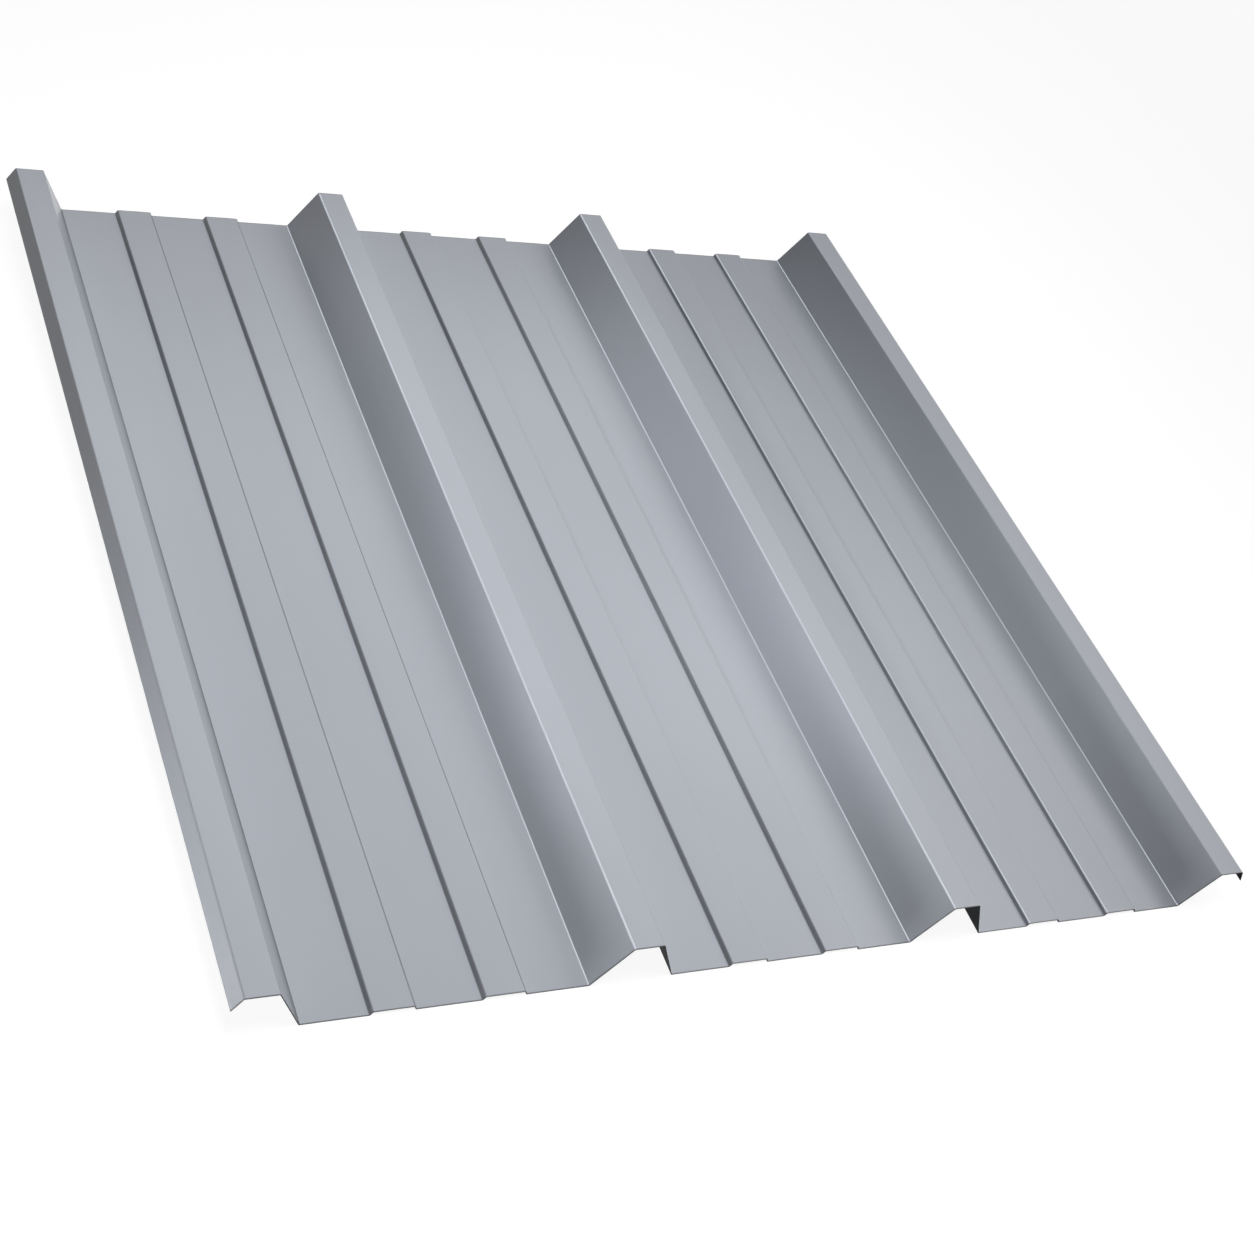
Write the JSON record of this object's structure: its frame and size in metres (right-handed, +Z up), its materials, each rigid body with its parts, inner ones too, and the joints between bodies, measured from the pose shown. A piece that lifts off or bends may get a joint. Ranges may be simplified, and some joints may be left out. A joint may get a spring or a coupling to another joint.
{
  "type": "trapezoidal metal roofing sheet",
  "caption": "Roll-formed coated steel sheet: tall trapezoidal ribs with flat crowns, wide pans stiffened by low swages, and a short lap leg down each side edge.",
  "frame": {"origin": "under the middle of the sheet, on the level that the pans stand on", "axes": "+X across the ribs, +Y along the ribs, +Z up, away from the painted face"},
  "size_m": [1.0442, 1.025, 0.0487],
  "materials": {
    "coated_steel": "satin blue-grey coil coating on galvanised steel"
  },
  "bodies": {
    "root": {"roofing_sheet": "coated_steel"}
  },
  "joints": []
}
